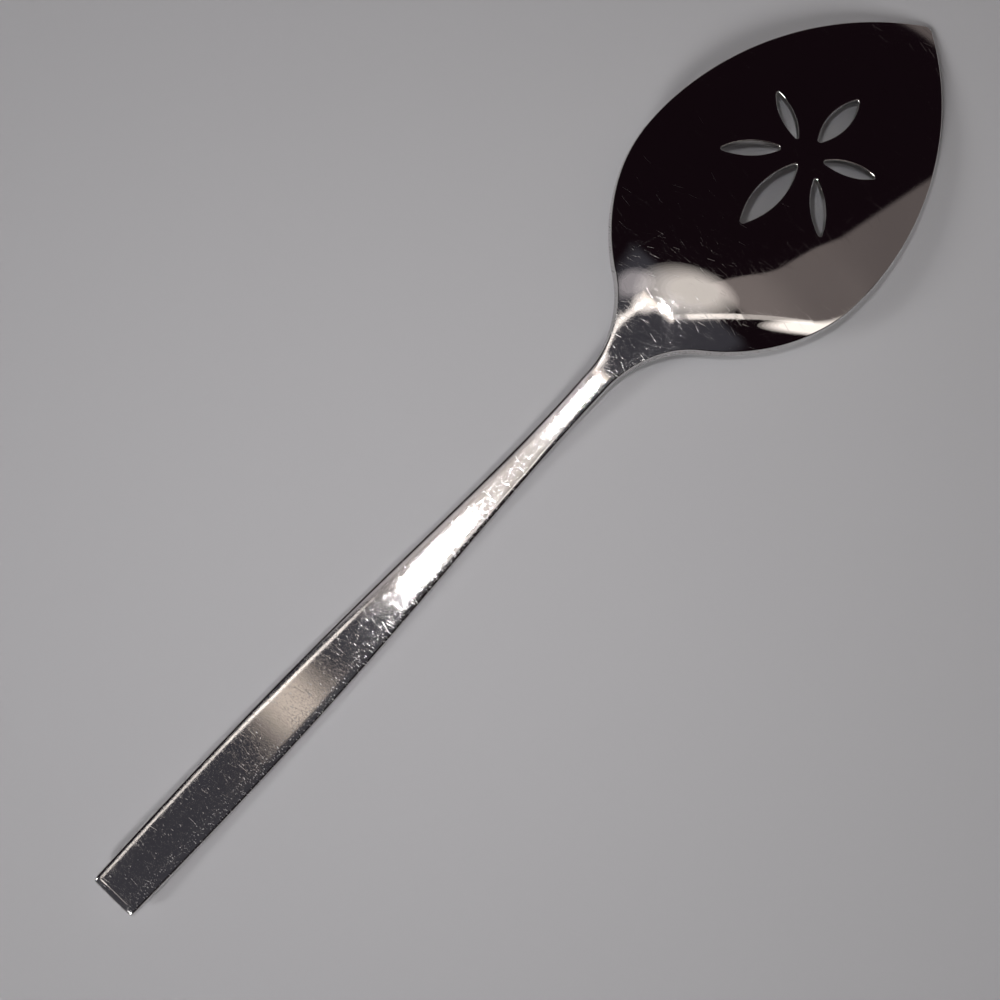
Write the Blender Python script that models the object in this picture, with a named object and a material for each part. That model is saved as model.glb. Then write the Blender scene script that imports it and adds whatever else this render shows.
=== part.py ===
"""A pierced pie server, pressed from one piece of stainless steel.

It lies face down, back up, on the flat of its handle and on its tip. The handle end is at -X and
the tip at +X, the table is Z = 0, and the origin is on the table under the middle of the length.
"""
import math

import bmesh
import bpy
import numpy as np
from mathutils import Matrix

# Lengths along the server, in metres
HANDLE_LENGTH = 0.1384        # handle end to the end of its taper
NECK_LENGTH = 0.0060          # narrow neck between the taper and the flare of the blade
TIP_LENGTH = 0.0605           # widest place of the blade to its tip

# Outline seen from above
HANDLE_END_WIDTH = 0.0110
HANDLE_END_ROUNDING = 0.0016  # length over which the squared end rounds off
HANDLE_WIDTH = 0.0119
HANDLE_WIDEST_AT = 0.0370     # from the handle end
HANDLE_EASE = 0.0430          # how long the handle keeps its width before it tapers
NECK_EASE = 0.0280            # how long the taper takes to run out into the neck
NECK_WIDTH = 0.0058
BLADE_WIDTH = 0.0588
FLARE_RADIUS = 0.0212         # hollow curve from the neck into the heel
HEEL_RADIUS = 0.0405          # rounded heel of the blade, on either side
SIDE_RUN = 0.0053             # how far the tip's long side curve runs on past the widest place
TIP_RADIUS = 0.0020

# Steel
HANDLE_THICKNESS = 0.0022
NECK_THICKNESS = 0.0026
BLADE_THICKNESS = 0.0012
HANDLE_EDGE_RADIUS = 0.0007
BLADE_EDGE_RADIUS = 0.0004
HANDLE_CROWN = 0.00022        # fall of the handle's back from its middle to its edges

# Side view: slopes of the back in degrees, uphill towards the tip
END_LIFT_ANGLE = 3.4          # the handle end lifts off the table
REST_START = 0.066            # level stretch that the handle rests on, from the handle end
REST_LENGTH = 0.028
SPRING_FROM_NECK = 0.0165     # place before the neck from which the handle rises more steeply
SPRING_ANGLE = 4.3            # its slope there
HANDLE_ANGLE = 15.0           # slope that the handle reaches where the neck bends up
BEND_LENGTH = 0.0080
NECK_ANGLE = 26.6
NECK_RUN = 0.0060             # straight part of the neck
CREST_LENGTH = 0.0250         # from the neck over the heel on to the blade
TIP_ANGLE = 5.0               # further fall between the blade's middle and its tip
BEND_BLEND = 0.0060           # length over which one slope passes into the next

# Hollow of the blade, as radii across it
HEEL_DISH_RADIUS = 0.075
BLADE_DISH_RADIUS = 0.150

# Pierced flower, in the plane of the blade
FLOWER_FROM_TIP = 0.0480
PETAL_END_RADIUS = 0.00045
CUTTER_REACH = 0.0100         # how far the cutting prisms go to either side of the back
HANDLE_PETAL_START = 0.0040   # gap from the flower's middle to the petal that points at the handle
HANDLE_PETAL_LENGTH = 0.0195
HANDLE_PETAL_WIDTH = 0.0052
TIP_PETAL_START = 0.0041
TIP_PETAL_LENGTH = 0.0152
TIP_PETAL_WIDTH = 0.0043
REAR_PETAL_ANGLE = 136.8      # the two that point back and out, measured from the tip's direction
REAR_PETAL_START = 0.0073
REAR_PETAL_LENGTH = 0.0129
REAR_PETAL_WIDTH = 0.0035
REAR_PETAL_FOCUS = 0.0018     # they point at a spot this far tipwards of the flower's middle
FRONT_PETAL_ANGLE = 58.2      # the two that point forward and out
FRONT_PETAL_START = 0.0045
FRONT_PETAL_LENGTH = 0.0118
FRONT_PETAL_WIDTH = 0.0033
FRONT_PETAL_FOCUS = -0.0013

# Fineness of the faceted solid
END_STEPS = 7
HANDLE_STEPS = 20
FLARE_STEPS = 9
HEEL_STEPS = 12
SIDE_STEPS = 16
TIP_STEPS = 4
ACROSS_STEPS = 16
EDGE_STEPS = 3
PETAL_SIDE_STEPS = 6
PETAL_END_STEPS = 2
PROFILE_SAMPLES = 4000
SOLVER_STEPS = 40
STEEPEST_BLADE = 60.0         # upper limit of the search for the blade's slope
WELD_DISTANCE = 0.000001
SHARP_ANGLE = 40.0            # steeper edges are shaded as edges

# Places along the server that follow from the sizes above, from the handle end
NECK_AT = HANDLE_LENGTH
SPRING_AT = NECK_AT - SPRING_FROM_NECK
FLARE_AT = NECK_AT + NECK_LENGTH
RUN_AT = FLARE_AT + BEND_LENGTH
CREST_AT = RUN_AT + NECK_RUN
BLADE_AT = CREST_AT + CREST_LENGTH


def side_radius(half_length, half_width, end_radius):
    """Radius of an arc from the widest place of a pointed oval, tangent to its rounded point."""
    reach = half_length - end_radius
    return (reach ** 2 + half_width ** 2 - end_radius ** 2) / (2 * (half_width - end_radius))


# Arcs of the blade's outline: the long side, the heel and the flare, each tangent to the next
SIDE_RADIUS = side_radius(TIP_LENGTH, BLADE_WIDTH / 2, TIP_RADIUS)
SIDE_TURN = math.asin(SIDE_RUN / SIDE_RADIUS)
HEEL_CENTRE = BLADE_WIDTH / 2 - SIDE_RADIUS + (SIDE_RADIUS - HEEL_RADIUS) * math.cos(SIDE_TURN)
FLARE_CENTRE = NECK_WIDTH / 2 + FLARE_RADIUS
HEEL_AT = FLARE_AT + math.sqrt((FLARE_RADIUS + HEEL_RADIUS) ** 2 - (FLARE_CENTRE - HEEL_CENTRE) ** 2)
WIDEST_AT = HEEL_AT + (SIDE_RADIUS - HEEL_RADIUS) * math.sin(SIDE_TURN)
LENGTH = WIDEST_AT + TIP_LENGTH


def clear_scene():
    for thing in list(bpy.data.objects):
        bpy.data.objects.remove(thing, do_unlink=True)


def arc(centre, radius, start, end, steps, side=1):
    """Points on an arc with their outward directions; side is -1 where the steel is outside the arc."""
    angles = np.radians(np.linspace(start, end, steps + 1))
    ray = np.stack([np.cos(angles), np.sin(angles)], axis=1)
    return np.hstack([np.array(centre) + radius * ray, side * ray])


def ogive(half_length, half_width, end_radius, side_steps, end_steps, run_on=0.0):
    """A quarter of a pointed oval, whose side runs on past its widest place by an angle in radians."""
    radius = side_radius(half_length, half_width, end_radius)
    reach = half_length - end_radius
    joint = math.degrees(math.atan2(radius - half_width, reach))
    side = arc((0, half_width - radius), radius, 90 + math.degrees(run_on), joint, side_steps)
    point = arc((reach, 0), end_radius, joint, 0, end_steps)
    return np.vstack([side, point[1:]])


def handle_side():
    """The handle's side from its end to the neck: a slow swell, then a taper drawn as a Bezier curve."""
    wide = HANDLE_WIDTH / 2
    neck = NECK_WIDTH / 2
    swell = wide - HANDLE_END_WIDTH / 2
    x = np.linspace(HANDLE_END_ROUNDING, HANDLE_WIDEST_AT, END_STEPS + 1)
    back = (HANDLE_WIDEST_AT - x) / HANDLE_WIDEST_AT
    points = [np.stack([x, wide - swell * back ** 2], axis=1)]
    tangents = [np.stack([np.ones_like(x), 2 * swell * back / HANDLE_WIDEST_AT], axis=1)]
    hold = np.array([[HANDLE_WIDEST_AT, wide], [HANDLE_WIDEST_AT + HANDLE_EASE, wide],
                     [NECK_AT - NECK_EASE, neck], [NECK_AT, neck]])
    t = np.linspace(0, 1, HANDLE_STEPS + 1)[1:, None]
    points.append((1 - t) ** 3 * hold[0] + 3 * (1 - t) ** 2 * t * hold[1]
                  + 3 * (1 - t) * t ** 2 * hold[2] + t ** 3 * hold[3])
    tangents.append((1 - t) ** 2 * (hold[1] - hold[0]) + 2 * (1 - t) * t * (hold[2] - hold[1])
                    + t ** 2 * (hold[3] - hold[2]))
    points = np.vstack(points)
    tangents = np.vstack(tangents)
    tangents /= np.linalg.norm(tangents, axis=1)[:, None]
    outward = np.stack([-tangents[:, 1], tangents[:, 0]], axis=1)
    return np.hstack([points, outward])


def blade_side():
    """The blade's side from the neck to the tip: a hollow flare, the round heel and the pointed end."""
    joint = math.degrees(math.atan2(FLARE_CENTRE - HEEL_CENTRE, FLARE_AT - HEEL_AT))
    flare = arc((FLARE_AT, FLARE_CENTRE), FLARE_RADIUS, -90, joint - 180, FLARE_STEPS, side=-1)
    heel = arc((HEEL_AT, HEEL_CENTRE), HEEL_RADIUS, joint, 90 + math.degrees(SIDE_TURN), HEEL_STEPS)
    end = ogive(TIP_LENGTH, BLADE_WIDTH / 2, TIP_RADIUS, SIDE_STEPS, TIP_STEPS, SIDE_TURN)
    end[:, 0] += WIDEST_AT
    return np.vstack([flare, heel[1:], end[1:]])


def blended(x, knots):
    """A value along the length: straight between the knots, with its corners rounded off."""
    places, values = zip(*knots)
    step = LENGTH / PROFILE_SAMPLES
    reach = BEND_BLEND / 2
    grid = np.arange(-reach, LENGTH + reach + step, step)
    raised = np.interp(grid, places, values)
    total = np.concatenate([[0], np.cumsum((raised[1:] + raised[:-1]) / 2)]) * step
    before = np.interp(x - reach, grid, total)
    after = np.interp(x + reach, grid, total)
    return (after - before) / BEND_BLEND


def slope(x, blade_angle):
    """Slope of the back's middle line, in radians."""
    return np.radians(blended(x, (
        (0, -END_LIFT_ANGLE), (REST_START, 0), (REST_START + REST_LENGTH, 0), (SPRING_AT, SPRING_ANGLE),
        (FLARE_AT, HANDLE_ANGLE), (RUN_AT, NECK_ANGLE), (CREST_AT, NECK_ANGLE),
        (BLADE_AT, -blade_angle), (WIDEST_AT, -blade_angle), (LENGTH, -blade_angle - TIP_ANGLE))))


def middle_height(x, blade_angle):
    """Height of the back's middle line over the table."""
    grid = np.linspace(0, LENGTH, PROFILE_SAMPLES + 1)
    rise = np.tan(slope(grid, blade_angle))
    height = np.concatenate([[0], np.cumsum((rise[1:] + rise[:-1]) / 2)]) * (LENGTH / PROFILE_SAMPLES)
    level = np.interp(REST_START + REST_LENGTH / 2, grid, height)
    return np.interp(x, grid, height) - level + HANDLE_THICKNESS


def dish_fall(x, y):
    """Fall of the blade's hollow form, y away from its middle line."""
    bend = blended(x, ((NECK_AT, 0), (CREST_AT, 1 / HEEL_DISH_RADIUS), (WIDEST_AT, 1 / BLADE_DISH_RADIUS)))
    return bend * y ** 2 / 2


def back_height(x, y, half_width, blade_angle):
    crown = blended(x, ((NECK_AT, HANDLE_CROWN), (CREST_AT, 0)))
    return middle_height(x, blade_angle) - dish_fall(x, y) - crown * (y / half_width) ** 4


def front_height(x, y, blade_angle):
    steel = blended(x, ((NECK_AT - NECK_EASE, HANDLE_THICKNESS), (FLARE_AT, NECK_THICKNESS),
                        (BLADE_AT, BLADE_THICKNESS)))
    return middle_height(x, blade_angle) - dish_fall(x, y) - steel / np.cos(slope(x, blade_angle))


def section(place, outward, radius, blade_angle, trim=0.0):
    """One closed loop round the steel: across the back, over an edge, across the front and back up.

    place and outward give the outline on the left side and radius the rounding of its edges. trim
    draws the loop in on all sides, which rounds the squared handle end.
    """
    across = np.linspace(1, -1, ACROSS_STEPS + 1)
    inner = place - radius * outward
    x = np.full_like(across, inner[0])
    y = across * inner[1]
    half_width = max(place[1], radius)
    top = back_height(x, y, half_width, blade_angle) - trim
    bottom = front_height(x, y, blade_angle) + trim
    rounding = radius - trim
    bends = np.linspace(0, math.pi / 2, EDGE_STEPS + 1)
    reach = rounding * np.sin(bends)
    fall = rounding * (1 - np.cos(bends))
    back = np.stack([x, y, top], axis=1)
    front = np.stack([x, y, bottom], axis=1)

    def rim(side):
        upper = np.stack([inner[0] + reach * outward[0], side * (abs(y[0]) + reach * outward[1]),
                          top[0] - fall], axis=1)
        lower = upper.copy()
        lower[:, 2] = bottom[0] + fall
        return np.vstack([upper[1:], lower[:0:-1]])

    return np.vstack([back, rim(-1), front[::-1], rim(1)[::-1]])


def sections(blade_angle):
    """All loops from the squared handle end to the tip, as an array of loops of points."""
    outline = np.vstack([handle_side(), blade_side()])
    edge = blended(outline[:, 0], ((NECK_AT, HANDLE_EDGE_RADIUS), (BLADE_AT, BLADE_EDGE_RADIUS)))
    loops = []
    for bend in np.linspace(math.pi / 2, 0, EDGE_STEPS + 1)[:-1]:
        place = outline[0, :2].copy()
        place[0] = HANDLE_END_ROUNDING * (1 - math.sin(bend))
        trim = HANDLE_EDGE_RADIUS * (1 - math.cos(bend))
        loops.append(section(place, np.array([0.0, 1.0]), HANDLE_EDGE_RADIUS, blade_angle, trim))
    for row, radius in zip(outline, edge):
        loops.append(section(row[:2], row[2:], radius, blade_angle))
    return np.array(loops)


def resting_blade_angle():
    """The blade's slope with which its tip comes down to the table."""
    low = 0.0
    high = STEEPEST_BLADE
    for _ in range(SOLVER_STEPS):
        angle = (low + high) / 2
        lowest = sections(angle)[-TIP_STEPS - SIDE_STEPS:, :, 2].min()
        if lowest > 0:
            low = angle
        else:
            high = angle
    return (low + high) / 2


def steel_material():
    material = bpy.data.materials.new("polished_steel")
    material.use_nodes = True
    shader = material.node_tree.nodes["Principled BSDF"]
    shader.inputs["Base Color"].default_value = (0.56, 0.54, 0.52, 1)
    shader.inputs["Metallic"].default_value = 1.0
    shader.inputs["Roughness"].default_value = 0.16
    return material


def new_object(name, mesh):
    thing = bpy.data.objects.new(name, mesh)
    thing.location.x = -LENGTH / 2
    bpy.context.scene.collection.objects.link(thing)
    return thing


def make_server(blade_angle):
    """Skin the loops, close the handle end and weld the loops that meet at the tip."""
    loops = sections(blade_angle)
    bm = bmesh.new()
    rings = [[bm.verts.new(point) for point in loop] for loop in loops]
    for ring, following in zip(rings, rings[1:]):
        for here in range(len(ring)):
            after = (here + 1) % len(ring)
            bm.faces.new((ring[here], ring[after], following[after], following[here]))
    bmesh.ops.remove_doubles(bm, verts=bm.verts, dist=WELD_DISTANCE)
    bmesh.ops.holes_fill(bm, edges=[edge for edge in bm.edges if edge.is_boundary])
    bmesh.ops.triangulate(bm, faces=bm.faces)
    bmesh.ops.recalc_face_normals(bm, faces=bm.faces)
    mesh = bpy.data.meshes.new("pie_server")
    bm.to_mesh(mesh)
    bm.free()
    mesh.shade_smooth()
    mesh.set_sharp_from_angle(angle=math.radians(SHARP_ANGLE))
    server = new_object("pie_server", mesh)
    mesh.materials.append(steel_material())
    return server


def petal_outline(start, length, width):
    """A pointed oval lying along +X, from start to start + length."""
    quarter = ogive(length / 2, width / 2, PETAL_END_RADIUS, PETAL_SIDE_STEPS, PETAL_END_STEPS)[:, :2]
    upper = np.vstack([quarter[::-1], quarter[1:] * (-1, 1)])
    lower = upper[-2:0:-1] * (1, -1)
    return np.vstack([upper, lower]) + (start + length / 2, 0)


def flower():
    """Angle, aim, start, length and width of the six petals."""
    petals = [
        (180, 0, HANDLE_PETAL_START, HANDLE_PETAL_LENGTH, HANDLE_PETAL_WIDTH),
        (0, 0, TIP_PETAL_START, TIP_PETAL_LENGTH, TIP_PETAL_WIDTH),
    ]
    for side in (1, -1):
        petals.append((side * REAR_PETAL_ANGLE, REAR_PETAL_FOCUS, REAR_PETAL_START,
                       REAR_PETAL_LENGTH, REAR_PETAL_WIDTH))
        petals.append((side * FRONT_PETAL_ANGLE, FRONT_PETAL_FOCUS, FRONT_PETAL_START,
                       FRONT_PETAL_LENGTH, FRONT_PETAL_WIDTH))
    return petals


def make_petal_cutter(blade_angle):
    """Six prisms through the blade, square to it at the flower's middle."""
    centre = LENGTH - FLOWER_FROM_TIP
    pitch = float(slope(np.array([centre]), blade_angle)[0])
    height = float(middle_height(np.array([centre]), blade_angle)[0])
    bm = bmesh.new()
    for angle, aim, start, length, width in flower():
        outline = petal_outline(start, length, width)
        turn = Matrix.Translation((aim, 0, 0)) @ Matrix.Rotation(math.radians(angle), 4, "Z")
        ring = [bm.verts.new(turn @ Matrix.Translation((x, y, -CUTTER_REACH)).translation)
                for x, y in outline]
        face = bm.faces.new(ring)
        grown = bmesh.ops.extrude_face_region(bm, geom=[face])
        raised = [part for part in grown["geom"] if isinstance(part, bmesh.types.BMVert)]
        bmesh.ops.translate(bm, vec=(0, 0, 2 * CUTTER_REACH), verts=raised)
    bmesh.ops.recalc_face_normals(bm, faces=bm.faces)
    place = Matrix.Translation((centre, 0, height)) @ Matrix.Rotation(-pitch, 4, "Y")
    bmesh.ops.transform(bm, matrix=place, verts=bm.verts)
    mesh = bpy.data.meshes.new("petal_cutter")
    bm.to_mesh(mesh)
    bm.free()
    cutter = new_object("petal_cutter", mesh)
    cutter.hide_render = True
    cutter.display_type = "WIRE"
    return cutter


def main():
    clear_scene()
    blade_angle = resting_blade_angle()
    server = make_server(blade_angle)
    pierce = server.modifiers.new("pierced_flower", "BOOLEAN")
    pierce.operation = "DIFFERENCE"
    pierce.solver = "EXACT"
    pierce.object = make_petal_cutter(blade_angle)


main()
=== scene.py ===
"""Looks of a pierced pie server: one fine steel skin, its worn polish, and a small studio round it.

All sizes are in metres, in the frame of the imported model: +X towards the blade's tip, +Z up, the
table at Z = 0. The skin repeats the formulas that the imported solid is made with, on a finer mesh.
"""
import math

import bmesh
import bpy
import numpy as np
from mathutils import Matrix, Vector
from mathutils.geometry import delaunay_2d_cdt
from mathutils.kdtree import KDTree


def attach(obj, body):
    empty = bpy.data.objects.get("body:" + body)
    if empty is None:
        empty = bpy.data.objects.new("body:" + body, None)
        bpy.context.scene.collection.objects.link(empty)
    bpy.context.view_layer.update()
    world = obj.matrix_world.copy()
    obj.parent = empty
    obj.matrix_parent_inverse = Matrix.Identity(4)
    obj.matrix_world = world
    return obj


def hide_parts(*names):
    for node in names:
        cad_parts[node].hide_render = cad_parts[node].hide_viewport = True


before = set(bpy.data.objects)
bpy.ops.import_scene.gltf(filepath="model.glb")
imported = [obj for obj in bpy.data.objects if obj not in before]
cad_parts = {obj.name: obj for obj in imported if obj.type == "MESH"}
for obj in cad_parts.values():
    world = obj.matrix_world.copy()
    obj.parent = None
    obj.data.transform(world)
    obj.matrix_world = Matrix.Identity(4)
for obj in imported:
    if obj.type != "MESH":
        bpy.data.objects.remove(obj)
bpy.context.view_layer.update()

# Lengths along the server
HANDLE_LENGTH = 0.1384
NECK_LENGTH = 0.0060
TIP_LENGTH = 0.0605

# Outline seen from above
HANDLE_END_WIDTH = 0.0110
HANDLE_END_ROUNDING = 0.0016
HANDLE_WIDTH = 0.0119
HANDLE_WIDEST_AT = 0.0370
HANDLE_EASE = 0.0430
NECK_EASE = 0.0280
NECK_WIDTH = 0.0058
BLADE_WIDTH = 0.0588
FLARE_RADIUS = 0.0212
HEEL_RADIUS = 0.0405
SIDE_RUN = 0.0053
TIP_RADIUS = 0.0020

# Steel
HANDLE_THICKNESS = 0.0022
NECK_THICKNESS = 0.0026
BLADE_THICKNESS = 0.0012
HANDLE_EDGE_RADIUS = 0.0007
BLADE_EDGE_RADIUS = 0.0004
HANDLE_CROWN = 0.00022

# Side view: slopes of the back in degrees, uphill towards the tip
END_LIFT_ANGLE = 3.4
REST_START = 0.066
REST_LENGTH = 0.028
SPRING_FROM_NECK = 0.0165
SPRING_ANGLE = 4.3
HANDLE_ANGLE = 15.0
BEND_LENGTH = 0.0080
NECK_ANGLE = 26.6
NECK_RUN = 0.0060
CREST_LENGTH = 0.0250
TIP_ANGLE = 5.0
BEND_BLEND = 0.0060

# Hollow of the blade, as radii across it
HEEL_DISH_RADIUS = 0.075
BLADE_DISH_RADIUS = 0.150

# Pierced flower, in the plane of the blade: start, length and width of each kind of petal
FLOWER_FROM_TIP = 0.0480
PETAL_END_RADIUS = 0.00045
HANDLE_PETAL = (0.0040, 0.0195, 0.0052)
TIP_PETAL = (0.0041, 0.0152, 0.0043)
REAR_PETAL = (0.0073, 0.0129, 0.0035)
REAR_PETAL_ANGLE = 136.8
REAR_PETAL_FOCUS = 0.0018
FRONT_PETAL = (0.0045, 0.0118, 0.0033)
FRONT_PETAL_ANGLE = 58.2
FRONT_PETAL_FOCUS = -0.0013
PETAL_BACK_ROUNDING = 0.00022
PETAL_FRONT_ROUNDING = 0.00012

# Fineness of the skin
SKIN_SPACING = 0.00075
END_STEPS = 14
CORNER_STEPS = 6
SWELL_STEPS = 48
TAPER_STEPS = 130
FLARE_STEPS = 34
HEEL_STEPS = 56
SIDE_STEPS = 90
TIP_STEPS = 14
EDGE_STEPS = 6
PETAL_SIDE_STEPS = 20
PETAL_END_STEPS = 6
PETAL_EDGE_STEPS = 4
PROFILE_SAMPLES = 4000
SOLVER_STEPS = 40
STEEPEST_BLADE = 60.0
SLIDE_STEPS = 8
DIFFERENCE = 0.0001
SAME_PLACE = 0.0000001
MERGE_DISTANCE = 1e-9
LATTICE_GAP = 0.45

# Places along the server, from the handle end
NECK_AT = HANDLE_LENGTH
SPRING_AT = NECK_AT - SPRING_FROM_NECK
FLARE_AT = NECK_AT + NECK_LENGTH
RUN_AT = FLARE_AT + BEND_LENGTH
CREST_AT = RUN_AT + NECK_RUN
BLADE_AT = CREST_AT + CREST_LENGTH


def side_radius(half_length, half_width, end_radius):
    """Radius of an arc from the widest place of a pointed oval, tangent to its rounded point."""
    reach = half_length - end_radius
    return (reach ** 2 + half_width ** 2 - end_radius ** 2) / (2 * (half_width - end_radius))


SIDE_RADIUS = side_radius(TIP_LENGTH, BLADE_WIDTH / 2, TIP_RADIUS)
SIDE_TURN = math.asin(SIDE_RUN / SIDE_RADIUS)
HEEL_CENTRE = BLADE_WIDTH / 2 - SIDE_RADIUS + (SIDE_RADIUS - HEEL_RADIUS) * math.cos(SIDE_TURN)
FLARE_CENTRE = NECK_WIDTH / 2 + FLARE_RADIUS
HEEL_AT = FLARE_AT + math.sqrt((FLARE_RADIUS + HEEL_RADIUS) ** 2 - (FLARE_CENTRE - HEEL_CENTRE) ** 2)
WIDEST_AT = HEEL_AT + (SIDE_RADIUS - HEEL_RADIUS) * math.sin(SIDE_TURN)
LENGTH = WIDEST_AT + TIP_LENGTH

# Camera, fitted to the photograph
CAMERA_PLACE = Vector((-0.03508, -0.01262, 0.20968))
CAMERA_AIM = Vector((0.08871, 0.05035, -0.99478))
CAMERA_UP = Vector((0.72695, 0.67949, 0.09922))
CAMERA_LENS = 35.32
CAMERA_SENSOR = 36.0

# Colours of the steel and of the lights
STEEL_DULL = (0.60, 0.58, 0.57, 1)
STEEL_CLEAR = (0.66, 0.645, 0.63, 1)
WHITE = (0.985, 0.975, 1.0)
BEIGE = (1.0, 0.93, 0.87)
MAUVE = (1.0, 0.93, 0.96)
WARM = (1.0, 0.86, 0.73)

# Studio: a round floor, and a room whose wall lies inside all of its sides
FLOOR_RADIUS = 1.2
FLOOR_EVEN_RADIUS = 0.36
FLOOR_NEAR = (0.41, 0.405, 0.415, 1)
# The far floor colour is painted light: the floor is made paler far out, where less light falls
FLOOR_FAR_PAINTED_LIGHT = (0.85, 0.84, 0.86, 1)
ROOM_DARK = (0.008, 0.004, 0.006, 1)
ROOM_BEHIND = (0.054, 0.053, 0.064, 1)
WALL_LOW = (0.148, 0.125, 0.122, 1)
WALL_HIGH = (0.25, 0.214, 0.205, 1)
WALL_SIDES = ((-0.242, -0.970, 0.0), (-0.334, -0.937, 0.104), (0.457, 0.873, 0.171))
HORIZON = (0.36, 0.355, 0.36, 1)
HORIZON_ENDS = (10, 13)


def arc(centre, radius, start, end, steps, side=1):
    """Points on an arc with their outward directions; side is -1 where the steel is outside the arc."""
    angles = np.radians(np.linspace(start, end, steps + 1))
    ray = np.stack([np.cos(angles), np.sin(angles)], axis=1)
    return np.hstack([np.array(centre) + radius * ray, side * ray])


def ogive(half_length, half_width, end_radius, side_steps, end_steps, run_on=0.0):
    """A quarter of a pointed oval, whose side runs on past its widest place by an angle in radians."""
    radius = side_radius(half_length, half_width, end_radius)
    reach = half_length - end_radius
    joint = math.degrees(math.atan2(radius - half_width, reach))
    side = arc((0, half_width - radius), radius, 90 + math.degrees(run_on), joint, side_steps)
    point = arc((reach, 0), end_radius, joint, 0, end_steps)
    return np.vstack([side, point[1:]])


def handle_side():
    """The handle's side from its end to the neck: a slow swell, then a taper drawn as a Bezier curve."""
    wide = HANDLE_WIDTH / 2
    neck = NECK_WIDTH / 2
    swell = wide - HANDLE_END_WIDTH / 2
    x = np.linspace(HANDLE_END_ROUNDING, HANDLE_WIDEST_AT, SWELL_STEPS + 1)
    back = (HANDLE_WIDEST_AT - x) / HANDLE_WIDEST_AT
    points = [np.stack([x, wide - swell * back ** 2], axis=1)]
    tangents = [np.stack([np.ones_like(x), 2 * swell * back / HANDLE_WIDEST_AT], axis=1)]
    hold = np.array([[HANDLE_WIDEST_AT, wide], [HANDLE_WIDEST_AT + HANDLE_EASE, wide],
                     [NECK_AT - NECK_EASE, neck], [NECK_AT, neck]])
    t = np.linspace(0, 1, TAPER_STEPS + 1)[1:, None]
    points.append((1 - t) ** 3 * hold[0] + 3 * (1 - t) ** 2 * t * hold[1]
                  + 3 * (1 - t) * t ** 2 * hold[2] + t ** 3 * hold[3])
    tangents.append((1 - t) ** 2 * (hold[1] - hold[0]) + 2 * (1 - t) * t * (hold[2] - hold[1])
                    + t ** 2 * (hold[3] - hold[2]))
    points = np.vstack(points)
    tangents = np.vstack(tangents)
    tangents /= np.linalg.norm(tangents, axis=1)[:, None]
    outward = np.stack([-tangents[:, 1], tangents[:, 0]], axis=1)
    return np.hstack([points, outward])


def blade_side():
    """The blade's side from the neck to the tip: a hollow flare, the round heel and the pointed end."""
    joint = math.degrees(math.atan2(FLARE_CENTRE - HEEL_CENTRE, FLARE_AT - HEEL_AT))
    flare = arc((FLARE_AT, FLARE_CENTRE), FLARE_RADIUS, -90, joint - 180, FLARE_STEPS, side=-1)
    heel = arc((HEEL_AT, HEEL_CENTRE), HEEL_RADIUS, joint, 90 + math.degrees(SIDE_TURN), HEEL_STEPS)
    end = ogive(TIP_LENGTH, BLADE_WIDTH / 2, TIP_RADIUS, SIDE_STEPS, TIP_STEPS, SIDE_TURN)
    end[:, 0] += WIDEST_AT
    return np.vstack([flare[1:], heel[1:], end[1:]])


OUTLINE = np.vstack([handle_side(), blade_side()])


def blended(x, knots):
    """A value along the length: straight between the knots, with its corners rounded off."""
    places, values = zip(*knots)
    step = LENGTH / PROFILE_SAMPLES
    reach = BEND_BLEND / 2
    grid = np.arange(-reach, LENGTH + reach + step, step)
    raised = np.interp(grid, places, values)
    total = np.concatenate([[0], np.cumsum((raised[1:] + raised[:-1]) / 2)]) * step
    before = np.interp(x - reach, grid, total)
    after = np.interp(x + reach, grid, total)
    return (after - before) / BEND_BLEND


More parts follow.
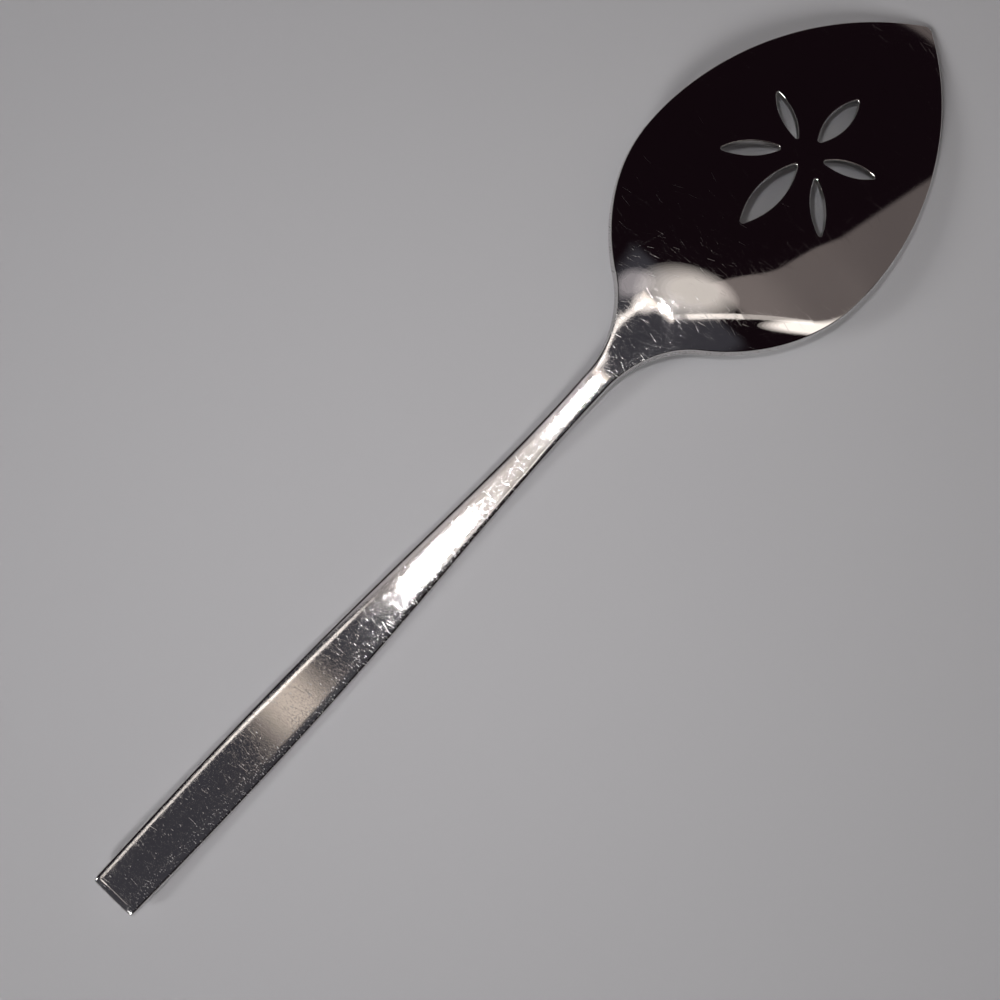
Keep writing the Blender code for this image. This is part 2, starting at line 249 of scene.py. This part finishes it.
class Server:
    """The pressed form: heights of the back and the front, and their normals."""

    def __init__(self, blade_angle):
        self.blade_angle = blade_angle
        self.grid = np.linspace(0, LENGTH, PROFILE_SAMPLES + 1)
        rise = np.tan(self.slope(self.grid))
        step = LENGTH / PROFILE_SAMPLES
        height = np.concatenate([[0], np.cumsum((rise[1:] + rise[:-1]) / 2)]) * step
        level = np.interp(REST_START + REST_LENGTH / 2, self.grid, height)
        self.height = height - level + HANDLE_THICKNESS

    def slope(self, x):
        fall = -self.blade_angle
        return np.radians(blended(x, (
            (0, -END_LIFT_ANGLE), (REST_START, 0), (REST_START + REST_LENGTH, 0),
            (SPRING_AT, SPRING_ANGLE), (FLARE_AT, HANDLE_ANGLE), (RUN_AT, NECK_ANGLE),
            (CREST_AT, NECK_ANGLE), (BLADE_AT, fall), (WIDEST_AT, fall), (LENGTH, fall - TIP_ANGLE))))

    def middle(self, x):
        return np.interp(x, self.grid, self.height)

    def back_fall(self, x, y):
        """Fall of the back below its middle line: the blade's hollow form and the handle's crown."""
        bend = blended(x, ((NECK_AT, 0), (CREST_AT, 1 / HEEL_DISH_RADIUS),
                           (WIDEST_AT, 1 / BLADE_DISH_RADIUS)))
        crown = blended(x, ((NECK_AT, HANDLE_CROWN), (CREST_AT, 0)))
        half_width = np.interp(x, OUTLINE[:, 0], OUTLINE[:, 1])
        half_width = np.maximum(half_width, BLADE_EDGE_RADIUS)
        return bend * y ** 2 / 2 + crown * (y / half_width) ** 4

    def front_fall(self, x, y):
        """Depth of the front below the back's middle line."""
        bend = blended(x, ((NECK_AT, 0), (CREST_AT, 1 / HEEL_DISH_RADIUS),
                           (WIDEST_AT, 1 / BLADE_DISH_RADIUS)))
        steel = blended(x, ((NECK_AT - NECK_EASE, HANDLE_THICKNESS), (FLARE_AT, NECK_THICKNESS),
                            (BLADE_AT, BLADE_THICKNESS)))
        return bend * y ** 2 / 2 + steel / np.cos(self.slope(x))

    def points(self, plan, fall):
        x, y = plan[:, 0], plan[:, 1]
        return np.stack([x, y, self.middle(x) - fall(x, y)], axis=1)

    def normals(self, plan, fall):
        """Upward normals of the surface that lies fall below the middle line."""
        x, y = plan[:, 0], plan[:, 1]
        step = DIFFERENCE
        along = np.tan(self.slope(x)) - (fall(x + step, y) - fall(x - step, y)) / (2 * step)
        across = -(fall(x, y + step) - fall(x, y - step)) / (2 * step)
        normal = np.stack([-along, -across, np.ones_like(x)], axis=1)
        return normal / np.linalg.norm(normal, axis=1)[:, None]


def resting_server():
    """The server whose blade slopes so that the tip comes down to the table."""
    end = OUTLINE[OUTLINE[:, 0] > WIDEST_AT]
    inner = end[:, :2] - BLADE_EDGE_RADIUS * end[:, 2:]
    low = 0.0
    high = STEEPEST_BLADE
    for _ in range(SOLVER_STEPS):
        angle = (low + high) / 2
        server = Server(angle)
        if server.points(inner, server.front_fall)[:, 2].min() > 0:
            low = angle
        else:
            high = angle
    return server


def rim_samples():
    """Half of the rim, from the middle of the handle end along the left side to the tip.

    Each row holds a place on the edge's inner side, how far the rounding reaches out from it in
    plan, the plan part of the rounding's normal, and the rounding's drop. The normal is scaled so
    that its upright part is 1 / drop.
    """
    edge = blended(OUTLINE[:, 0], ((NECK_AT, HANDLE_EDGE_RADIUS), (BLADE_AT, BLADE_EDGE_RADIUS)))
    edge = edge[:, None]
    inner = OUTLINE[:, :2] - edge * OUTLINE[:, 2:]
    side = np.hstack([inner, edge * OUTLINE[:, 2:], OUTLINE[:, 2:] / edge, edge])
    corner_y = inner[0, 1]
    rows = []
    for y in np.linspace(0, corner_y, END_STEPS + 1)[:-1]:
        rows.append((HANDLE_END_ROUNDING, y, -HANDLE_END_ROUNDING, 0, -1 / HANDLE_END_ROUNDING, 0,
                     HANDLE_EDGE_RADIUS))
    for turn in np.linspace(0, math.pi / 2, CORNER_STEPS + 1)[:-1]:
        rows.append((HANDLE_END_ROUNDING, corner_y,
                     -HANDLE_END_ROUNDING * math.cos(turn), HANDLE_EDGE_RADIUS * math.sin(turn),
                     -math.cos(turn) / HANDLE_END_ROUNDING, math.sin(turn) / HANDLE_EDGE_RADIUS,
                     HANDLE_EDGE_RADIUS))
    side[0, 0] = HANDLE_END_ROUNDING
    return np.vstack([np.array(rows), side])


def whole_rim():
    """The whole rim as one closed loop of rows, and for each row the number of its place."""
    half = rim_samples()
    half[-1, 1] = 0.0
    mirrored = half[-2:0:-1].copy()
    mirrored[:, [1, 3, 5]] *= -1
    loop = np.vstack([half, mirrored])
    spot = np.zeros(len(loop), int)
    for here in range(1, len(loop)):
        moved = np.linalg.norm(loop[here, :2] - loop[here - 1, :2]) > SAME_PLACE
        spot[here] = spot[here - 1] + int(moved)
    return loop, spot


def petal_outline(start, length, width):
    """A pointed oval lying along +X, from start to start + length, with its outward directions."""
    quarter = ogive(length / 2, width / 2, PETAL_END_RADIUS, PETAL_SIDE_STEPS, PETAL_END_STEPS)
    upper = np.vstack([quarter[::-1], quarter[1:] * (-1, 1, -1, 1)])
    lower = upper[-2:0:-1] * (1, -1, 1, -1)
    outline = np.vstack([upper, lower])
    outline[:, 0] += start + length / 2
    return outline


def turned(outline, angle, aim):
    """An outline turned round the flower's middle, pointing at a spot aim along its axis."""
    bend = math.radians(angle)
    matrix = np.array([[math.cos(bend), math.sin(bend)], [-math.sin(bend), math.cos(bend)]])
    return np.hstack([outline[:, :2] @ matrix + (aim, 0), outline[:, 2:] @ matrix])


def flower():
    """Outlines of the six petals in the plane of the blade."""
    petals = [turned(petal_outline(*HANDLE_PETAL), 180, 0), turned(petal_outline(*TIP_PETAL), 0, 0)]
    for side in (1, -1):
        petals.append(turned(petal_outline(*REAR_PETAL), side * REAR_PETAL_ANGLE, REAR_PETAL_FOCUS))
        petals.append(turned(petal_outline(*FRONT_PETAL), side * FRONT_PETAL_ANGLE, FRONT_PETAL_FOCUS))
    return petals


class Pierce:
    """Takes a petal from the flower's plane to the back or the front, square to that plane."""

    def __init__(self, server):
        self.server = server
        self.centre = LENGTH - FLOWER_FROM_TIP
        pitch = float(server.slope(np.array([self.centre]))[0])
        self.along = np.array([math.cos(pitch), 0, math.sin(pitch)])
        self.out = np.array([-math.sin(pitch), 0, math.cos(pitch)])
        self.height = float(server.middle(np.array([self.centre]))[0])

    def directions(self, flat):
        return np.outer(flat[:, 0], self.along) + np.outer(flat[:, 1], (0, 1, 0))

    def landed(self, flat, fall):
        """Where lines square to the flower's plane meet the surface."""
        start = np.array([self.centre, 0, self.height]) + self.directions(flat)
        slide = np.zeros(len(flat))
        for _ in range(SLIDE_STEPS):
            point = start + slide[:, None] * self.out
            gap = self.server.points(point, fall)[:, 2] - point[:, 2]
            slide += gap * self.out[2]
        return start + slide[:, None] * self.out


def inside(points, loop):
    """Which points lie inside a closed loop, by counting the crossings of a ray."""
    result = np.zeros(len(points), bool)
    for (x0, y0), (x1, y1) in zip(loop, np.roll(loop, -1, axis=0)):
        crosses = (y0 > points[:, 1]) != (y1 > points[:, 1])
        if crosses.any():
            reach = x0 + (points[crosses, 1] - y0) * (x1 - x0) / (y1 - y0)
            result[crosses] ^= points[crosses, 0] < reach
    return result


def filled(points, rim, holes):
    """Which points lie within the rim and outside every hole."""
    result = inside(points, rim)
    for hole in holes:
        result &= ~inside(points, hole)
    return result


def triangulated(rim, holes):
    """Plan points and triangles of a sheet, whose first points are the rim's and then the holes'."""
    loops = [rim] + holes
    border = np.vstack(loops)
    tree = KDTree(len(border))
    for number, (x, y) in enumerate(border):
        tree.insert((x, y, 0), number)
    tree.balance()
    rows = np.arange(-BLADE_WIDTH / 2, BLADE_WIDTH / 2, SKIN_SPACING * math.sqrt(3) / 2)
    columns = np.arange(0, LENGTH, SKIN_SPACING)
    lattice = [np.stack([columns + (number % 2) * SKIN_SPACING / 2, np.full_like(columns, y)], axis=1)
               for number, y in enumerate(rows)]
    lattice = np.vstack(lattice)
    lattice = lattice[filled(lattice, rim, holes)]
    free = [tree.find((x, y, 0))[2] > SKIN_SPACING * LATTICE_GAP for x, y in lattice]
    plan = np.vstack([border, lattice[np.array(free)]])
    edges = []
    first = 0
    for loop in loops:
        count = len(loop)
        edges += [(first + here, first + (here + 1) % count) for here in range(count)]
        first += count
    result = delaunay_2d_cdt([Vector(point) for point in plan], edges, [], 0, MERGE_DISTANCE)
    origin = [found[0] for found in result[3]]
    triangles = np.array([[origin[corner] for corner in face] for face in result[2]])
    triangles = triangles[filled(plan[triangles].mean(axis=1), rim, holes)]
    return plan, triangles


class Skin:
    """Collects points, normals and faces of one mesh."""

    def __init__(self):
        self.points = []
        self.normals = []
        self.faces = []

    def add(self, points, normals):
        first = len(self.points)
        self.points += [tuple(point) for point in points]
        self.normals += [tuple(normal) for normal in normals]
        return np.arange(first, first + len(points))

    def strip(self, upper, lower):
        """Faces between two closed rows of corners; corners that coincide leave a triangle."""
        for here in range(len(upper)):
            after = (here + 1) % len(upper)
            corners = (upper[here], upper[after], lower[after], lower[here])
            self.faces.append(tuple(dict.fromkeys(int(corner) for corner in corners)))

    def mesh(self, name):
        points = np.array(self.points)
        normals = np.array(self.normals)
        normals /= np.linalg.norm(normals, axis=1)[:, None]
        faces = []
        for face in self.faces:
            a, b, c = points[list(face[:3])]
            outward = np.dot(np.cross(b - a, c - a), normals[list(face)].sum(axis=0))
            faces.append(face if outward > 0 else face[::-1])
        points[:, 0] -= LENGTH / 2
        mesh = bpy.data.meshes.new(name)
        mesh.from_pydata(points.tolist(), [], faces)
        mesh.shade_smooth()
        mesh.normals_split_custom_set_from_vertices(normals.tolist())
        return mesh


def lean(directions, normals):
    """Plan directions laid into the surface that has these normals, at their own length."""
    flat = np.hstack([directions, np.zeros((len(directions), 1))])
    length = np.linalg.norm(flat, axis=1)[:, None]
    flat -= normals * np.sum(flat * normals, axis=1)[:, None]
    return flat * length / np.linalg.norm(flat, axis=1)[:, None]


def rounded_rim(skin, row, points, normals, loop):
    """Round an edge of the rim off, out of the surface with these normals; returns its last row."""
    reach = lean(loop[:, 2:4], normals)
    facing = lean(loop[:, 4:6], normals)
    drop = loop[:, 6:7]
    for bend in np.linspace(0, math.pi / 2, EDGE_STEPS + 1)[1:]:
        place = points + reach * math.sin(bend) - normals * drop * (1 - math.cos(bend))
        normal = facing * math.sin(bend) + normals * math.cos(bend) / drop
        following = skin.add(place, normal)
        skin.strip(row, following)
        row = following
    return row


def rounded_petal(skin, row, pierce, petal, fall, rounding, side):
    """Round a petal's edge into its wall; side is 1 on the back and -1 on the front."""
    inward = -pierce.directions(petal[:, 2:])
    for bend in np.linspace(0, math.pi / 2, PETAL_EDGE_STEPS + 1)[1:]:
        grown = petal[:, :2] + petal[:, 2:] * rounding * (1 - math.sin(bend))
        place = pierce.landed(grown, fall) - side * pierce.out * rounding * (1 - math.cos(bend))
        following = skin.add(place, inward * math.sin(bend) + side * pierce.out * math.cos(bend))
        skin.strip(row, following)
        row = following
    return row


def make_skin():
    """The whole server as one closed mesh: back, front, rim and the walls of the petals."""
    server = resting_server()
    pierce = Pierce(server)
    loop, spot = whole_rim()
    unique = np.unique(spot, return_index=True)[1]
    petals = flower()
    skin = Skin()
    last_rows = []
    for side, fall, rounding in ((1, server.back_fall, PETAL_BACK_ROUNDING),
                                 (-1, server.front_fall, PETAL_FRONT_ROUNDING)):
        holes = [pierce.landed(petal[:, :2] + petal[:, 2:] * rounding, fall)[:, :2] for petal in petals]
        plan, triangles = triangulated(loop[unique, :2], holes)
        points = server.points(plan, fall)
        normals = side * server.normals(plan, fall)
        sheet = skin.add(points, normals)
        skin.faces += [tuple(int(sheet[corner]) for corner in face) for face in triangles]
        rows = [rounded_rim(skin, sheet[spot], points[spot], normals[spot], loop)]
        first = len(unique)
        for petal in petals:
            row = sheet[first:first + len(petal)]
            rows.append(rounded_petal(skin, row, pierce, petal, fall, rounding, side))
            first += len(petal)
        last_rows.append(rows)
    for upper, lower in zip(*last_rows):
        skin.strip(upper, lower)
    return skin.mesh("pie_server_skin")


def make_server():
    """The server in its worn steel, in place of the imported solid."""
    server = bpy.data.objects.new("pie_server_skin", make_skin())
    bpy.context.scene.collection.objects.link(server)
    server.data.materials.append(polished_steel())
    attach(server, "root")
    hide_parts("pie_server")


class Nodes:
    """Short ways to add shader nodes; a value that is a socket is linked, any other is set."""

    def __init__(self, tree):
        self.tree = tree

    def node(self, kind, inputs=(), **settings):
        node = self.tree.nodes.new("ShaderNode" + kind)
        for name, value in settings.items():
            setattr(node, name, value)
        for name, value in dict(inputs).items():
            self.put(node.inputs[name], value)
        return node

    def put(self, socket, value):
        if isinstance(value, bpy.types.NodeSocket):
            self.tree.links.new(value, socket)
        else:
            socket.default_value = value

    def math(self, operation, *values):
        return self.node("Math", dict(enumerate(values)), operation=operation).outputs[0]

    def ramp(self, value, low, high, to_low=0.0, to_high=1.0, smooth=True):
        kind = "SMOOTHSTEP" if smooth else "LINEAR"
        inputs = {"Value": value, "From Min": low, "From Max": high, "To Min": to_low, "To Max": to_high}
        return self.node("MapRange", inputs, interpolation_type=kind).outputs["Result"]

    def noise(self, vector, scale, detail=2.0, roughness=0.5):
        inputs = {"Vector": vector, "Scale": scale, "Detail": detail, "Roughness": roughness}
        return self.node("TexNoise", inputs).outputs["Fac"]

    def mixed(self, share, first, second):
        """One colour passing into another."""
        inputs = {"Factor_Float": share, "A_Color": first, "B_Color": second}
        node = self.node("Mix", data_type="RGBA")
        for socket in node.inputs:
            if socket.identifier in inputs:
                self.put(socket, inputs[socket.identifier])
        return next(socket for socket in node.outputs if socket.identifier == "Result_Color")

    def stretched(self, vector, scale, offset=(0, 0, 0)):
        inputs = {"Vector": vector, "Location": offset, "Scale": scale}
        return self.node("Mapping", inputs).outputs["Vector"]


def scratches(nodes, place, cell, length, width, seed, share, mean=0.0, spread=math.pi):
    """Straight grooves, of which few are deep.

    A share of the cells holds one each. Place, cell, length and width are in millimetres, and the
    mean direction and its spread are in radians.
    """
    spot = nodes.stretched(place, (1, 1, 0), offset=(seed * 17.3, seed * -9.1, 0))
    cells = nodes.node("TexVoronoi", {"Vector": spot, "Scale": 1 / cell}, voronoi_dimensions="2D")
    lucky = nodes.node("SeparateColor", {"Color": cells.outputs["Color"]}).outputs
    away = nodes.node("VectorMath", {0: spot, 1: cells.outputs["Position"]}, operation="SUBTRACT")
    angle = nodes.math("MULTIPLY_ADD", lucky["Red"], 2 * spread, mean - spread)
    turned_inputs = {"Vector": away.outputs[0], "Angle": angle}
    turned_away = nodes.node("VectorRotate", turned_inputs, rotation_type="Z_AXIS").outputs[0]
    axes = nodes.node("SeparateXYZ", {"Vector": turned_away}).outputs
    off_line = nodes.math("ABSOLUTE", axes["Y"])
    along = nodes.math("ABSOLUTE", axes["X"])
    line = nodes.ramp(off_line, width, 0.0)
    line = nodes.math("MULTIPLY", line, nodes.ramp(along, length / 2, length / 4))
    chosen = nodes.math("LESS_THAN", lucky["Green"], share)
    deep = nodes.math("MULTIPLY", nodes.math("LOGARITHM", lucky["Blue"], math.e), -0.2)
    deep = nodes.math("MINIMUM", deep, 1.0)
    return nodes.math("MULTIPLY", line, nodes.math("MULTIPLY", chosen, deep))


def summed(nodes, values):
    """The sum of several sockets."""
    total = values[0]
    for value in values[1:]:
        total = nodes.math("ADD", total, value)
    return total


def grooves(nodes, place, along):
    """Depth in micrometres of all scratches: most of them run across the server."""
    across = math.pi / 2
    long_lines = [scratches(nodes, place, 13.0, 11.0, 0.07, seed, 0.7) for seed in (1, 2)]
    swept = [scratches(nodes, place, 2.8, 3.6, 0.07, seed, 0.8, across, 0.5) for seed in (3, 4, 5)]
    brushed = [scratches(nodes, place, 3.0, 3.4, 0.06, seed, 0.8, 0.0, 0.1) for seed in (6, 7)]
    nicks = [scratches(nodes, place, 0.8, 0.75, 0.11, seed, 0.5, across, 0.4) for seed in (8, 9)]
    rubbed = [scratches(nodes, place, 1.3, 2.6, 0.06, seed, 0.9, across, 0.5) for seed in (10, 11, 12)]
    handled = nodes.ramp(along, 40.0, 16.0, 0.1, 1.0)
    used = nodes.ramp(along, 100.0, 45.0, 0.35, 1.0)
    depth = nodes.math("MULTIPLY", summed(nodes, long_lines), 5.0)
    depth = nodes.math("MULTIPLY_ADD", summed(nodes, swept), 6.0, depth)
    depth = nodes.math("MULTIPLY_ADD", summed(nodes, brushed), 2.0, depth)
    nicked = nodes.math("MULTIPLY", summed(nodes, nicks), handled)
    depth = nodes.math("MULTIPLY_ADD", nicked, 5.0, depth)
    crown = nodes.math("MULTIPLY", summed(nodes, rubbed), worn_crown(nodes, place))
    depth = nodes.math("MULTIPLY_ADD", crown, 5.0, depth)
    return nodes.math("MULTIPLY", depth, used)


def worn_crown(nodes, place):
    """How much the crown of the heel has rubbed in the drawer."""
    centred = nodes.stretched(place, (1, 1, 0), offset=(-43.0, -2.0, 0))
    distance = nodes.node("VectorMath", {0: centred}, operation="LENGTH").outputs["Value"]
    return nodes.ramp(distance, 30.0, 10.0)


def scuffed(nodes, place, along, aside):
    """Roughness between the scratches: a mirror on the blade, full of rougher specks on the handle."""
    handled = nodes.ramp(along, 44.0, 20.0, 0.08, 1.0)
    strokes = nodes.noise(nodes.stretched(place, (4.0, 2.2, 2.2)), 1.0, detail=2.0, roughness=0.6)
    uneven = nodes.math("MULTIPLY", nodes.math("SUBTRACT", strokes, 0.5), handled)
    uneven = nodes.math("EXPONENT", nodes.math("MULTIPLY", uneven, 6.6))
    level = nodes.ramp(handled, 0.0, 1.0, 0.025, 0.052, smooth=False)
    worn_side = nodes.math("MULTIPLY", handled, 0.7)
    side = nodes.math("MULTIPLY_ADD", nodes.ramp(aside, -1.2, -3.6), worn_side, 1.0)
    return nodes.math("MULTIPLY", nodes.math("MULTIPLY", level, side), uneven)


def polished_steel():
    """Mirror-polished steel that has been used for years: hairlines, nicks, haze and a soft grain."""
    material = bpy.data.materials.new("polished_steel_worn")
    material.use_nodes = True
    nodes = Nodes(material.node_tree)
    shader = material.node_tree.nodes["Principled BSDF"]
    coordinates = nodes.node("TexCoord").outputs["Object"]
    place = nodes.stretched(coordinates, (1000, 1000, 1000))
    axes = nodes.node("SeparateXYZ", {"Vector": place}).outputs
    along = axes["X"]
    depth = grooves(nodes, place, along)
    grain = nodes.noise(place, 3.8, detail=1.5, roughness=0.5)
    grain_depth = nodes.ramp(along, 45.0, 20.0, 0.8, 3.0)
    height = nodes.math("MULTIPLY_ADD", grain, grain_depth, nodes.math("MULTIPLY", depth, -0.5))
    bump = nodes.node("Bump", {"Height": height, "Strength": 1.0, "Distance": 0.000001})
    rough = nodes.math("MULTIPLY_ADD", depth, 0.06, scuffed(nodes, place, along, axes["Y"]))
    rough = nodes.math("MINIMUM", rough, 0.42)
    haze = nodes.noise(place, 0.09, detail=4.0, roughness=0.6)
    nodes.put(shader.inputs["Base Color"], nodes.mixed(haze, STEEL_DULL, STEEL_CLEAR))
    nodes.put(shader.inputs["Roughness"], rough)
    nodes.put(shader.inputs["Normal"], bump.outputs["Normal"])
    shader.inputs["Metallic"].default_value = 1.0
    return material


def facing(place, target):
    """Where something stands that looks along its own -Z at a target."""
    aim = (Vector(target) - Vector(place)).to_track_quat("-Z", "Y").to_matrix().to_4x4()
    return Matrix.Translation(place) @ aim


def area_light(name, matrix, size, radiance, colour=(1, 1, 1), shape="RECTANGLE"):
    """A soft light of a given brightness; its power follows from its size."""
    lamp = bpy.data.lights.new(name, "AREA")
    lamp.shape = shape
    lamp.size, lamp.size_y = size
    lamp.color = colour
    face = size[0] * size[1] * (math.pi / 4 if shape == "ELLIPSE" else 1)
    lamp.energy = radiance * 4 * face
    light = bpy.data.objects.new(name, lamp)
    bpy.context.scene.collection.objects.link(light)
    light.matrix_world = matrix


def overhead(name, middle, size, turn, radiance, colour, height, shape="RECTANGLE"):
    """A light that hangs level over the table, its long side turned from +X by turn degrees."""
    place = Matrix.Translation((*middle, height))
    area_light(name, place @ Matrix.Rotation(math.radians(turn), 4, "Z"), size, radiance, colour, shape)


def nested(name, middle, size, turn, radiance, colour, heights, shares, drift=(0, 0)):
    """Ovals inside each other, which make one oval light with a soft edge.

    Heights are the first one's and the rise to each next. Shares of the size are the first one's,
    the loss to each next and how many there are. Each middle has drifted from the one before.
    """
    height, rise = heights
    first, loss, count = shares
    for step in range(count):
        share = first - loss * step
        here = (middle[0] + drift[0] * step, middle[1] + drift[1] * step)
        overhead(name, here, (size[0] * share, size[1] * share), turn, radiance, colour,
                 height + step * rise, "ELLIPSE")


def from_sky(azimuth, elevation, distance, origin):
    """A place in the direction given in degrees, azimuth from +X towards +Y."""
    turn = math.radians(azimuth)
    lift = math.radians(elevation)
    ray = Vector((math.cos(lift) * math.cos(turn), math.cos(lift) * math.sin(turn), math.sin(lift)))
    return Vector(origin) + ray * distance


def make_lights():
    """The lights that the steel mirrors towards the camera, and two softboxes for the floor.

    Lights that overlap hang at slightly different heights, so that a mirrored ray meets each of them.
    """
    overhead("flash", (-0.040, 0.009), (0.008, 0.008), 0, 780.0, WHITE, 0.2220, "ELLIPSE")
    nested("patch", (0.018, 0.005), (0.196, 0.100), -28, 0.08, BEIGE, (0.2240, 0.0004), (1.06, 0.075, 9),
           drift=(0.0025, -0.00125))
    nested("patch_left", (-0.052, 0.074), (0.105, 0.048), -20, 0.1, MAUVE, (0.2280, 0.0004), (1.1, 0.2, 3))
    overhead("line", (0.099, -0.0895), (0.272, 0.009), -28.8, 0.50, BEIGE, 0.2299)
    for step in range(2):
        middle = (0.014 + 0.012 * step, -0.043 - 0.0066 * step)
        size = (0.138 - 0.026 * step, 0.010)
        overhead("line_near", middle, size, -28.8, 0.25, BEIGE, 0.2302 + step * 0.0003)
    nested("line_low", (0.196, -0.158), (0.230, 0.030), -27, 0.23, BEIGE, (0.2308, 0.0003), (1.1, 0.08, 6))
    for width, radiance, height in ((0.047, 0.15, 0.500), (0.032, 0.22, 0.502), (0.020, 0.28, 0.504)):
        overhead("hand_card", (-0.165, 0.044), (width, 0.138), 0, radiance, WARM, height)
    overhead("left_strip", (-0.165, 0.060), (0.080, 0.012), 0, 0.95, BEIGE, 0.2331)
    nested("heel_left", (-2.94, 1.05), (1.30, 0.86), -22, 0.24, BEIGE, (6.00, 0.01), (1.15, 0.15, 4))
    for step in range(3):
        size = (0.050 + 0.016 * step, 0.014 - 0.003 * step)
        overhead("neck_strip", (-0.106, 0.049), size, -12, 0.42, BEIGE, 0.2343 + step * 0.0003)
    overhead("end_line", (-0.220, 0.013), (0.007, 0.040), 0, 1.0, BEIGE, 0.2353)
    handle_end = (-LENGTH / 2, 0, 0)
    for azimuth, radiance in ((150, 18.0), (196, 30.0)):
        place = from_sky(azimuth, 32.5, 3.0, handle_end)
        area_light("softbox", facing(place, (0, 0, 0)), (0.524, 0.897), radiance)


def make_world():
    """A dark room with one brown wall, over a pale horizon; the same for every ray."""
    world = bpy.data.worlds.new("studio")
    world.use_nodes = True
    bpy.context.scene.world = world
    nodes = Nodes(world.node_tree)
    background = world.node_tree.nodes["Background"]
    direction = nodes.node("TexCoord").outputs["Generated"]
    axes = nodes.node("SeparateXYZ", {"Vector": direction}).outputs

    def beyond(normal, soft=0.008):
        """Where the sky lies past a plane through the middle, with a soft edge."""
        side = nodes.node("VectorMath", {0: direction, 1: normal}, operation="DOT_PRODUCT")
        return nodes.ramp(side.outputs["Value"], -soft, soft)

    wall = beyond(WALL_SIDES[0])
    for normal in WALL_SIDES[1:]:
        wall = nodes.math("MULTIPLY", wall, beyond(normal))
    wall = nodes.math("MULTIPLY", wall, nodes.ramp(axes["X"], 0.12, 0.22))
    low = nodes.math("MULTIPLY", nodes.ramp(axes["Z"], 0.393, 0.385), nodes.ramp(axes["X"], 0.6, 0.75))
    wall = nodes.math("MAXIMUM", wall, low)
    aside = nodes.ramp(nodes.math("ABSOLUTE", axes["Y"]), 0.44, 0.34)
    behind = nodes.math("MULTIPLY", nodes.ramp(axes["X"], 0.0, -0.12), aside)
    room = nodes.mixed(behind, ROOM_DARK, ROOM_BEHIND)
    lit = nodes.ramp(axes["Z"], 0.55, 0.92)
    room = nodes.mixed(wall, room, nodes.mixed(lit, WALL_LOW, WALL_HIGH))
    low_end, high_end = (math.sin(math.radians(elevation)) for elevation in HORIZON_ENDS)
    high = nodes.ramp(axes["Z"], low_end, high_end)
    nodes.put(background.inputs["Color"], nodes.mixed(high, HORIZON, room))


def make_floor():
    """A round pale floor with painted light: its colour is made paler far from the part, to make up for
    the light that falls off there.
    """
    bm = bmesh.new()
    bmesh.ops.create_circle(bm, cap_ends=True, radius=FLOOR_RADIUS, segments=128)
    mesh = bpy.data.meshes.new("floor")
    bm.to_mesh(mesh)
    bm.free()
    floor = bpy.data.objects.new("floor", mesh)
    bpy.context.scene.collection.objects.link(floor)
    material = bpy.data.materials.new("floor_pale")
    material.use_nodes = True
    shader = material.node_tree.nodes["Principled BSDF"]
    nodes = Nodes(material.node_tree)
    place = nodes.node("NewGeometry").outputs["Position"]
    distance = nodes.node("VectorMath", {0: place}, operation="LENGTH").outputs["Value"]
    # Painted light: the floor's colour grows paler with distance, standing in for light that falls off far
    # from the part
    far = nodes.ramp(distance, FLOOR_EVEN_RADIUS, FLOOR_RADIUS)
    nodes.put(shader.inputs["Base Color"], nodes.mixed(far, FLOOR_NEAR, FLOOR_FAR_PAINTED_LIGHT))
    shader.inputs["Roughness"].default_value = 0.9
    mesh.materials.append(material)


def make_camera():
    """The camera that the photograph was taken from."""
    camera = bpy.data.cameras.new("camera")
    camera.lens = CAMERA_LENS
    camera.sensor_width = CAMERA_SENSOR
    camera.clip_start = 0.01
    holder = bpy.data.objects.new("camera", camera)
    bpy.context.scene.collection.objects.link(holder)
    aim = CAMERA_AIM.normalized()
    right = aim.cross(CAMERA_UP).normalized()
    up = right.cross(aim)
    turn = Matrix((right, up, -aim)).transposed().to_4x4()
    holder.matrix_world = Matrix.Translation(CAMERA_PLACE) @ turn
    bpy.context.scene.camera = holder


def main():
    """The part and its studio."""
    bpy.context.scene.view_settings.view_transform = "Standard"
    make_server()
    make_floor()
    make_world()
    make_lights()
    make_camera()


main()
